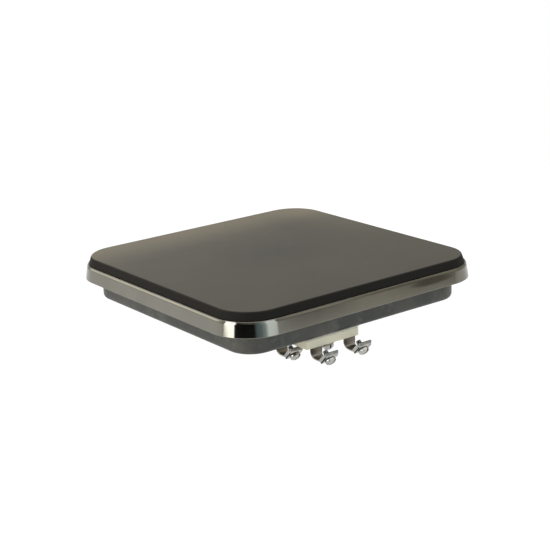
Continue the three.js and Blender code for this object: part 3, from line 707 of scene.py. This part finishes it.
def pan_skin():
    """Rows of (half side, height, radius) for the outside, from the bore out to the flange, then
    the same rows back again one sheet higher. Dish rows are circles, so their centre is 0."""
    floor, flange = PAN_LOW.z, PAN_HIGH.z - SHEET
    dish = [
        (PAN_BORE, floor + DISH_RISE, 0),
        (DISH_FLOOR, floor + DISH_RISE, DISH_ROUND),
        (DISH_RADIUS, floor, DISH_ROUND),
    ]
    bead = [
        (BEAD_AT - BEAD_WIDE / 2, floor, BEAD_ROUND),
        (BEAD_AT - BEAD_WIDE / 4, floor + BEAD_HIGH, BEAD_ROUND),
        (BEAD_AT + BEAD_WIDE / 4, floor + BEAD_HIGH, BEAD_ROUND),
        (BEAD_AT + BEAD_WIDE / 2, floor, BEAD_ROUND),
    ]
    wall = [
        (PAN_WALL, floor, PAN_FOOT_ROUND),
        (PAN_WALL, flange, PAN_FLANGE_ROUND),
        (PAN_HIGH.x, flange, 0),
    ]
    outer = np.asarray(dish + bead + wall)
    inner = outer[::-1].copy()
    inner[:, 1] += SHEET
    inner[1:3, 0] -= SHEET
    centres = np.array([0] * len(dish) + [BEAD_CORNER] * len(bead) + [CORNER_CENTRE] * len(wall))
    outline = np.concatenate([outer, inner])
    centres = np.concatenate([centres, centres[::-1]])
    line = closed(rounded(outline[:, :2], outline[:, 2], PAN_STEPS))
    centres = closed(np.repeat(centres, np.where(outline[:, 2] > 0, PAN_STEPS + 1, 1)))
    return around_square(line[:, 0], line[:, 1], centres)


piece("pan_pressing", [pan_skin()], PAN_STEEL, "burner", ["bottom_pan"])

# %% [markdown]
# ## Threads
#
# A thread is a cylinder whose radius rises and falls once per pitch, and once more per turn: that
# second term makes it a helix. It is a single formula on a grid, so it needs no boolean cut.

# %% Threads
ROUND_COLUMNS = 48
THREAD_SHARE, LOOPS_PER_PITCH = 0.54, 8
M4_RADIUS, M4_PITCH, M4_END = 2 * MM, 0.7 * MM, 0.5 * MM
M8_RADIUS, M8_PITCH, M8_END = 4 * MM, 1.25 * MM, 0.9 * MM


def placed(points, origin, frame_axes):
    """Points given across, up and along, put at the origin of a part."""
    return np.asarray(points, float) @ frame_axes + np.asarray(origin, float)


def turned(radius, along, columns=ROUND_COLUMNS):
    """Point = (r cos t, r sin t, h), for a radius r that may vary with t as well as with h."""
    t = np.linspace(0, 2 * math.pi, columns, endpoint=False)[None]
    shape = (len(along), columns)
    radius = np.broadcast_to(np.asarray(radius, float).reshape(len(along), -1), shape)
    height = np.broadcast_to(np.asarray(along, float)[:, None], shape)
    points = np.stack([radius * np.cos(t), radius * np.sin(t), height], -1)
    return points, grid_faces(*shape)


def thread_radius(radius, pitch, along, turns):
    """r = R - depth * |saw|, with saw from -1 to 1 over each pitch of height and each turn."""
    saw = 2 * np.mod(along[:, None] / pitch - turns, 1.0) - 1
    return radius - THREAD_SHARE * pitch * np.abs(saw)


def threaded_rod(low, high, radius, pitch, chamfer):
    """A thread between two heights, cut back by a 45 degree cone at its low end, with flat ends."""
    along = np.arange(low, high, pitch / LOOPS_PER_PITCH)
    turns = np.linspace(0, 1, ROUND_COLUMNS, endpoint=False)[None]
    body = thread_radius(radius, pitch, along, turns)
    body = np.minimum(body, radius - chamfer + (along - low)[:, None])
    ends = 0 * body[:1]
    return turned(np.concatenate([ends, body, ends]), np.concatenate([[low], along, [high]]))


thread_depths = [round(THREAD_SHARE * pitch / MM, 2) for pitch in (M4_PITCH, M8_PITCH)]
print("thread depths", thread_depths, "mm")

# %% [markdown]
# ## Nuts and washers
#
# A hexagon nut is the lesser of two radii at each angle and height: the flat of the hexagon and the
# cone of its chamfer. A washer is a small closed outline turned about its axis. The big stud, nut
# and washer hold the pan to the plate, and the small ones are for the earth wire.

# %% Nuts and washers
NUT_COLUMNS = 72
CHAMFER_DEPTHS = np.array([0, 0.1, 0.25, 0.5, 1.0, 1.6]) * MM
CHAMFER_STEEP, CHAMFER_START = math.tan(math.radians(60)), 0.99
MOUTH, WASHER_ROUND = 0.4 * MM, 0.2 * MM
# Nuts: width across flats and bore radius. Washers: bore radius and outer radius.
M8_NUT, M4_NUT = (13 * MM, 4.05 * MM), (7 * MM, 2.05 * MM)
M8_WASHER, M4_WASHER = (4.3 * MM, 8.5 * MM), (2.3 * MM, 4.5 * MM)


def hex_ring(low, high, across, bore):
    """r = min(hexagon, chamfer cone), from the bore outward and back. The hexagon's flat is
    across / 2 / cos(angle from the middle of its side)."""
    t = np.linspace(0, 2 * math.pi, NUT_COLUMNS, endpoint=False)[None]
    flat = across / 2 / np.cos(np.mod(t, math.pi / 3) - math.pi / 6)
    cone = across / 2 * CHAMFER_START + CHAMFER_DEPTHS[:, None] * CHAMFER_STEEP
    skin = np.minimum(flat, cone)
    edge = bore + 0 * t
    wide = edge + MOUTH
    radius = np.concatenate([wide, skin, skin[::-1], wide, edge, edge, wide])
    up, down = low + CHAMFER_DEPTHS, high - CHAMFER_DEPTHS[::-1]
    along = np.concatenate([[low], up, down, [high, high - MOUTH, low + MOUTH, low]])
    return turned(radius, along, NUT_COLUMNS)


def flat_ring(low, high, bore, radius):
    """A washer with a small round at every edge."""
    small = min(WASHER_ROUND, (high - low) / 3)
    corners = [(bore, low), (radius, low), (radius, high), (bore, high)]
    line = closed(rounded(corners, [small] * 4, 3))
    return turned(line[:, :1], line[:, 1])


def fastener(name, node, shape, *sizes):
    """A turned part that stands upright where its CAD node is, between that node's heights."""
    low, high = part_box(node)
    centre = (low.x + high.x) / 2, (low.y + high.y) / 2, 0.0
    points, faces = shape(low.z, high.z, *sizes)
    part = placed(points, centre, np.eye(3)), faces
    piece(name, [part], PLATED, "burner", [node])


fastener("stud_threaded", "centre_stud", threaded_rod, M8_RADIUS, M8_PITCH, M8_END)
fastener("nut_chamfered", "pan_nut", hex_ring, *M8_NUT)
fastener("washer_pan", "pan_washer", flat_ring, *M8_WASHER)
fastener("washer_earth", "earth_washer", flat_ring, *M4_WASHER)
fastener("nut_earth", "earth_nut", hex_ring, *M4_NUT)
fastener("stud_earth", "earth_stud", threaded_rod, M4_RADIUS, M4_PITCH, M4_END)

# %% [markdown]
# ## Bent strip
#
# Lugs and saddles are bent strip. A strip is a path of points in a side view, given the sheet's
# thickness by stepping half of it to each side, and then carried across the part's width. Its
# bends are the path's rounded corners, and a live bevel breaks the sheared edges.

# %% Bent strip
SLOPE = math.sqrt(0.5)


def offset_path(path, thick):
    """The path moved half the thickness to each side, along the mean normal at each point."""
    path = np.asarray(path, float)
    step = np.diff(path, axis=0)
    step /= np.linalg.norm(step, axis=1)[:, None]
    before, after = np.vstack([step[:1], step]), np.vstack([step, step[-1:]])
    normal = (before + after) / 2 @ np.array([[0, 1], [-1, 0]])
    normal /= np.sum(normal * normal, axis=1)[:, None]
    return path + normal * thick / 2, path - normal * thick / 2


def strip(path, thick, widths):
    """A strip along a side view path, as wide at each point as widths says: a loop of four corners
    (left and right on one side of the sheet, then right and left on the other) for each point."""
    inner, outer = offset_path(path, thick)
    half = np.broadcast_to(widths, len(inner)) / 2
    corners = [(-half, inner), (half, inner), (half, outer), (-half, outer)]
    points = np.stack([np.column_stack([x, side]) for x, side in corners], 1)
    last = 4 * (len(inner) - 1)
    ends = np.array([[0, 1, 2, 3], [last + 3, last + 2, last + 1, last]])
    return points.reshape(-1, 3), np.concatenate([grid_faces(len(inner), 4), ends])


def bend(corner_points, radii, steps):
    """An open path whose inner corners are rounded."""
    return rounded(corner_points, [0, *radii, 0], steps)


print("the terminals slope by", round(math.degrees(math.asin(SLOPE))), "degrees")

# %% [markdown]
# ## Terminal lugs
#
# A lug comes down through the block, bends forward in a broad J and ends in a lip at 45 degrees,
# which the screw goes through. Its leg is wider than the slot in the block, so that its two
# shoulders stop it there, and narrows again towards the foot.

# %% Terminal lug
LUG_THICK, LUG_WIDTH, LEG_WIDTH = 1 * MM, 8.5 * MM, 10.5 * MM
LUG_DROP, LUG_BEND, LIP_BEND, LUG_STEPS = 8.6 * MM, 4.5 * MM, 1.2 * MM, 10
LIP_PAST, LIP_BEFORE = 3.6 * MM, 4.7 * MM
SHOULDER_GAP, SHOULDER_TALL = 0.5 * MM, 0.3 * MM
TAPER, TAPER_START, TAPER_BEHIND = 4 * MM, 5 * MM, 1 * MM


def lug(i, screw_at):
    """A strip down the leg, round the J and up the lip. Its width is the lug's, plus a share of
    the leg's extra width that grows from 0 at the foot to 1 over the taper, up to the block."""
    low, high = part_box(f"terminal_lug_{i}")
    leg_y = high.y - LUG_THICK / 2
    foot_z = BLOCK_LOW.z - LUG_DROP
    knee_y = screw_at[1] + LIP_BEFORE * SLOPE
    end = (screw_at[1] - LIP_PAST * SLOPE, screw_at[2] + LIP_PAST * SLOPE)
    stop = BLOCK_LOW.z - SHOULDER_GAP
    leg = [(leg_y, z) for z in (high.z, stop, stop - SHOULDER_TALL, foot_z + TAPER_START)]
    corners = [leg[0], (leg_y, foot_z), (knee_y, foot_z), end]
    path = np.concatenate([leg, bend(corners, [LUG_BEND, LIP_BEND], LUG_STEPS)[1:]])
    on_leg = (path[:, 0] > knee_y + TAPER_BEHIND) * (path[:, 1] < stop)
    share = np.clip((path[:, 1] - foot_z) / TAPER, 0, 1) * on_leg
    points, faces = strip(path, LUG_THICK, LUG_WIDTH + (LEG_WIDTH - LUG_WIDTH) * share)
    return points + np.array([(low.x + high.x) / 2, 0, 0]), faces


print("lug", LUG_WIDTH / MM, "mm wide, leg", LEG_WIDTH / MM)

# %% [markdown]
# ## Clamp saddles
#
# A saddle straddles the lug's lip under the screw's head: a plate, two cheeks beside the lip, and a
# wing that is bent back and ribbed to grip a wire. The ribs are worked into the strip's own loops,
# as waves of its outer face, so they are true shape and need no texture.

# %% Clamp saddle
SADDLE_THICK, SADDLE_LENGTH, SADDLE_SEAT = 1 * MM, 8.3 * MM, 0.8 * MM
WING, WING_SHORT, WING_BEND, WING_STEPS = 3.3 * MM, 0.2 * MM, 0.6 * MM, 4
CHEEK, CHEEK_GAP, CHEEK_CORNER, CHEEK_EDGE = 2.5 * MM, 0.3 * MM, 0.8 * MM, 0.2 * MM
RIBS, RIB_DEPTH, RIB_LOOPS, RIB_START = 3, 0.3 * MM, 28, 0.25


def ribbed_wing():
    """The saddle's plate and wing in side view: plate along +up, then back by 45 degrees. Ribs
    push the wing's outer face out by |sin| of the distance along it. The groove_shade value is
    painted shade: 1 between the ribs and 0 on their crests."""
    middle = SADDLE_SEAT + SADDLE_THICK / 2
    low, high = -SADDLE_LENGTH / 2, SADDLE_LENGTH / 2 - WING_SHORT
    tip = (high + WING * SLOPE, middle - WING * SLOPE)
    path = bend([(low, middle), (high, middle), tip], [WING_BEND], WING_STEPS)
    straight = np.linspace(RIB_START, 1, RIB_LOOPS)[:, None]
    wing = path[-2] + (path[-1] - path[-2]) * straight
    path = np.concatenate([path[:-1], wing])
    width = 2 * (LUG_WIDTH / 2 + CHEEK_GAP + SADDLE_THICK)
    points, faces = strip(path, SADDLE_THICK, width)
    grid = points.reshape(-1, 4, 3)
    loops = np.arange(len(path)) - (len(path) - RIB_LOOPS)
    share = np.clip(loops / (RIB_LOOPS - 1), 0, 1)
    rib = RIB_DEPTH * np.abs(np.sin(share * RIBS * math.pi)) * (share > 0)
    grid[:, :2, 1:] += rib[:, None, None] * SLOPE
    groove_shade = np.zeros((len(path), 4))
    groove_shade[:, :2] = ((1 - rib / RIB_DEPTH) * (share > 0))[:, None]
    return grid.reshape(-1, 3), faces, groove_shade.ravel()


def cheek(side):
    """One cheek: a thin wall beside the lug's lip, with its two back corners well rounded."""
    x = side * (LUG_WIDTH / 2 + CHEEK_GAP + SADDLE_THICK / 2)
    back, front, half = SADDLE_SEAT - CHEEK, SADDLE_SEAT + SADDLE_THICK, SADDLE_LENGTH / 2
    corners = [(-half, back), (half, back), (half, front), (-half, front)]
    outline = rounded(corners, [CHEEK_CORNER, CHEEK_CORNER, CHEEK_EDGE, CHEEK_EDGE], 4)
    walls = x - SADDLE_THICK / 2, x + SADDLE_THICK / 2
    points = [np.column_stack([np.full(len(outline), wall), outline]) for wall in walls]
    count = len(outline)
    ends = np.stack([np.arange(count), np.arange(2 * count - 1, count - 1, -1)])
    return np.concatenate(points), [grid_faces(2, count), ends]


print("saddle", SADDLE_LENGTH / MM, "mm long,", RIBS, "ribs on its wing")

# %% [markdown]
# ## Slotted screws
#
# The head is a low dome with a driver slot. Its top is a disc laid out in straight lines that run
# along the slot, so that two lines fall on each slot wall and stay crisp. Below it the same columns
# carry on down as rings: side of the head, seat, thread and point.

# %% Slotted screw
SLOT_WIDE, SLOT_DEEP, SLOT_SHADE = 1.2 * MM, 1.5 * MM, 0.8
SCREW_SEAT, HEAD_TALL, HEAD_RADIUS, HEAD_EDGE = 2.1 * MM, 3.1 * MM, 4 * MM, 0.25 * MM
DOME_SHARE, DOME_POWER = 0.42, 4
SHANK_TIP, NECK_TALL = 5.5 * MM, 0.2 * MM
LINES_BESIDE_SLOT, POINTS_ALONG_SLOT = 14, 25


def head_top():
    """Point = (sqrt(R^2 - y^2) sin u, y, h), for u along the slot and y across it. The height h is
    the head's, less dome * (r / R)^4, and less the slot where y is within it."""
    quarter = math.pi / 2
    half_slot = SLOT_WIDE / 2
    turns = np.linspace(math.asin(half_slot / HEAD_RADIUS), quarter, LINES_BESIDE_SLOT)
    outside = HEAD_RADIUS * np.sin(turns)
    y = np.concatenate([-outside[::-1], [-half_slot, half_slot], outside])
    cut = np.repeat([False, True, False], [LINES_BESIDE_SLOT, 2, LINES_BESIDE_SLOT])
    u = np.linspace(-quarter, quarter, POINTS_ALONG_SLOT)
    x = np.sqrt(np.maximum(HEAD_RADIUS**2 - y**2, 0))[:, None] * np.sin(u)[None]
    across = np.broadcast_to(y[:, None], x.shape)
    top = SCREW_SEAT + HEAD_TALL
    dome = top - DOME_SHARE * HEAD_TALL * (np.hypot(x, across) / HEAD_RADIUS) ** DOME_POWER
    height = np.where(cut[:, None], np.minimum(dome, top - SLOT_DEEP), dome)
    # Painted shade: points in the slot get a groove_shade value that darkens the plating there.
    return np.stack([x, across, height], -1), np.repeat(SLOT_SHADE * cut, x.shape[1])


def slotted_screw():
    """The head's top, then rings (r cos a, r sin a, h) under its own edge, at the angles a of that
    edge's points. The shank's r is the thread's, cut back by a cone at the tip."""
    cap, groove_shade = head_top()
    border = np.concatenate([cap[:, -1], cap[::-1, 0]])
    angle = np.arctan2(border[:, 1], border[:, 0])[None]
    along = np.arange(SCREW_SEAT - NECK_TALL, -SHANK_TIP, -M4_PITCH / LOOPS_PER_PITCH)
    thread = thread_radius(M4_RADIUS, M4_PITCH, along, angle / (2 * math.pi))
    thread = np.minimum(thread, M4_RADIUS - M4_END + (along + SHANK_TIP)[:, None])
    rim_radii = np.array([HEAD_RADIUS, HEAD_RADIUS - HEAD_EDGE, M4_RADIUS])
    rim_heights = [SCREW_SEAT + HEAD_EDGE, SCREW_SEAT, SCREW_SEAT]
    r = np.concatenate([rim_radii[:, None] + 0 * angle, thread, 0 * angle])
    h = np.concatenate([rim_heights, along, [-SHANK_TIP]])[:, None] + 0 * r
    rings = np.stack([r * np.cos(angle), r * np.sin(angle), h], -1)
    rings = np.concatenate([border[None], rings])
    cap_part = cap, grid_faces(*cap.shape[:2], ring=False), groove_shade
    return [cap_part, (rings, grid_faces(*rings.shape[:2]))]


print("screw head", 2 * HEAD_RADIUS / MM, "mm across, slot", SLOT_WIDE / MM)

# %% [markdown]
# ## The four terminals
#
# Each terminal's frame comes from its own joint: the hinge's point is where the screw crosses the
# lug's lip, and its axis is the way the screw backs out. The saddle and the screw are drawn about
# that frame, so that they stay true when the joint moves them. No two slots point the same way, as
# on screws that were driven by hand.

# %% Terminals
SLOT_TURNS = (62, 74, 66, 104)
LUG_BEVEL, SADDLE_BEVEL = 0.12 * MM, 0.1 * MM


def axes_of(axis):
    """Three directions as rows: across, up the part, and along the axis."""
    along = np.asarray(axis, float) / np.linalg.norm(axis)
    across = np.array([1.0, 0.0, 0.0])
    return np.stack([across, np.cross(along, across), along])


def spun(axes, degrees):
    """The same three directions, turned about the last of them."""
    c, s = math.cos(math.radians(degrees)), math.sin(math.radians(degrees))
    return np.array([[c, s, 0], [-s, c, 0], [0, 0, 1]]) @ axes


def placed_parts(parts, origin, axes):
    return [(placed(points, origin, axes), *rest) for points, *rest in parts]


hinges = {j["child"]: j for j in frame["joints"] if j["type"] == "hinge"}
for i, slot_turn in enumerate(SLOT_TURNS, 1):
    hinge = hinges[f"screw_{i}"]
    origin, axes = np.asarray(hinge["pos_m"]), axes_of(hinge["axis"])
    node = f"terminal_lug_{i}"
    piece(f"lug_{i}", [lug(i, origin)], NICKEL, "burner", [node], LUG_BEVEL)
    body, node = f"saddle_{i}", f"clamp_saddle_{i}"
    parts = placed_parts([ribbed_wing(), cheek(-1), cheek(1)], origin, axes)
    piece(body, parts, PLATED, body, [node], SADDLE_BEVEL)
    body, node = f"screw_{i}", f"terminal_screw_{i}"
    parts = placed_parts(slotted_screw(), origin, spun(axes, slot_turn))
    piece(body, parts, PLATED, body, [node])

# %% [markdown]
# ## Floor
#
# A plain white disc. It glows evenly by itself, so no shadow or seam shows on it, and it lights the
# underside of the burner as a white table would.

# %% Floor
FLOOR_RADIUS, FLOOR_GAP, FLOOR_SIDES = 0.6, 0.2 * MM, 96
floor_z = cad_box[0][2] - FLOOR_GAP
around = np.linspace(0, 2 * math.pi, FLOOR_SIDES, endpoint=False)
edge_x, edge_y = FLOOR_RADIUS * np.cos(around), FLOOR_RADIUS * np.sin(around)
disc = np.column_stack([edge_x, edge_y, 0 * around + floor_z])
floor_mesh = bpy.data.meshes.new("floor")
floor_mesh.from_pydata(disc.tolist(), [], [list(range(FLOOR_SIDES))])
floor = bpy.data.objects.new("floor", floor_mesh)
bpy.context.scene.collection.objects.link(floor)
pale = Finish("floor_pale", roughness=0.9, emission_strength=1.0, specular_ior_level=0.0)
pale.shader.inputs["Base Color"].default_value = (0.05, 0.05, 0.05, 1)
pale.shader.inputs["Emission Color"].default_value = (1, 1, 1, 1)
floor_mesh.materials.append(pale.material)
print("floor at", round(floor_z / MM, 1), "mm")

# %% [markdown]
# ## The surround
#
# Polished steel shows what stands round it, so the studio is a picture by direction. Below the
# horizon it is white like the floor. Above it is a warm grey room that brightens upward, with two
# round glows. Upright strips, each at a compass heading, stand for screens and gaps between them:
# the rim's front corner sweeps across them and shows a white, a black and a blue grey patch.

# %% Surround
HORIZON_LOW, HORIZON_HIGH = -0.075, -0.06
ROOM_LOW, ROOM_HIGH, BELOW = (0.6, 0.58, 0.52), (1.5, 1.48, 1.42), (1, 1, 1)
ROOM_BRIGHTENS, STRIPS_FADE = (0.3, 0.62), (0.5, 0.8)
# Each glow: heading, height, half width and soft edge in degrees, strength, colour.
GLOWS = [
    (116, 34, 16, 18, 1.0, (2.4, 2.35, 2.2)),
    (72, 0, 7, 18, 0.8, (1.5, 1.42, 1.28)),
]
# Each strip: heading, half width and soft edge in degrees, strength, colour.
STRIPS = [
    (161, 3, 2, 0.8, (0.03, 0.03, 0.03)),
    (224, 31, 4, 1.0, (0.01, 0.011, 0.012)),
    (176, 13, 3, 1.0, (5.6, 5.7, 5.8)),
    (282, 17, 6, 1.0, (2.2, 2.5, 2.7)),
    (259, 5, 14, 0.85, (0.35, 0.5, 0.58)),
    (304, 1.5, 2, 0.7, (0.1, 0.1, 0.1)),
    (314, 1, 3, 0.5, (0.1, 0.08, 0.06)),
]


def near_edge(cosine, width, soft):
    """1 within width degrees and 0 beyond width + soft, from the cosine of the angle."""
    return cosine.ramp(math.cos(math.radians(width + soft)), math.cos(math.radians(width)))


def glow(sky, heading, height, width, soft):
    """1 in a round patch of the surround: the angle's cosine is a dot product with its middle."""
    a, e = math.radians(heading), math.radians(height)
    middle = Vector((math.cos(a) * math.cos(e), math.sin(a) * math.cos(e), math.sin(e)))
    values = {0: sky.place, 1: middle}
    cosine = sky.node("ShaderNodeVectorMath", {"operation": "DOT_PRODUCT"}, values, "Value")
    return near_edge(cosine, width, soft)


def upright_strip(sky, heading, width, soft):
    """1 in an upright strip of the surround: the same, with the height left out of the angle. It
    fades out high up."""
    a = math.radians(heading)
    level = (sky.x * sky.x + sky.y * sky.y) ** 0.5
    cosine = (sky.x * math.cos(a) + sky.y * math.sin(a)) / level
    return near_edge(cosine, width, soft) * (1 - sky.z.ramp(*STRIPS_FADE))


world = bpy.data.worlds.new("surround")
world.use_nodes = True
bpy.context.scene.world = world
sky = Graph(world.node_tree, "Generated")
room = sky.blend(sky.z.ramp(*ROOM_BRIGHTENS), ROOM_LOW, ROOM_HIGH)
for *place, strength, shade in GLOWS:
    room = sky.blend(glow(sky, *place) * strength, room, shade)
for *place, strength, shade in STRIPS:
    room = sky.blend(upright_strip(sky, *place) * strength, room, shade)
room = sky.blend(sky.z.ramp(HORIZON_LOW, HORIZON_HIGH), BELOW, room)
background = world.node_tree.nodes["Background"]
world.node_tree.links.new(room.socket, background.inputs["Color"])
print("surround:", len(GLOWS), "glows and", len(STRIPS), "strips")

# %% [markdown]
# ## The lamp
#
# One broad soft lamp, high up and a little behind, gives the faced iron its gleam. The Standard
# view keeps the white floor white.

# %% Lamp
LAMP_PLACE, LAMP_SIZE, LAMP_POWER = (0.2, 0.2, 1.4), 0.9, 6
lamp_data = bpy.data.lights.new("light_top", "AREA")
lamp_data.size, lamp_data.energy = LAMP_SIZE, LAMP_POWER
lamp = bpy.data.objects.new("light_top", lamp_data)
lamp.location = LAMP_PLACE
lamp.rotation_euler = Vector(LAMP_PLACE).to_track_quat("Z", "Y").to_euler()
bpy.context.scene.collection.objects.link(lamp)
bpy.context.scene.view_settings.view_transform = "Standard"
print("lamp", LAMP_SIZE, "m square at", LAMP_PLACE)
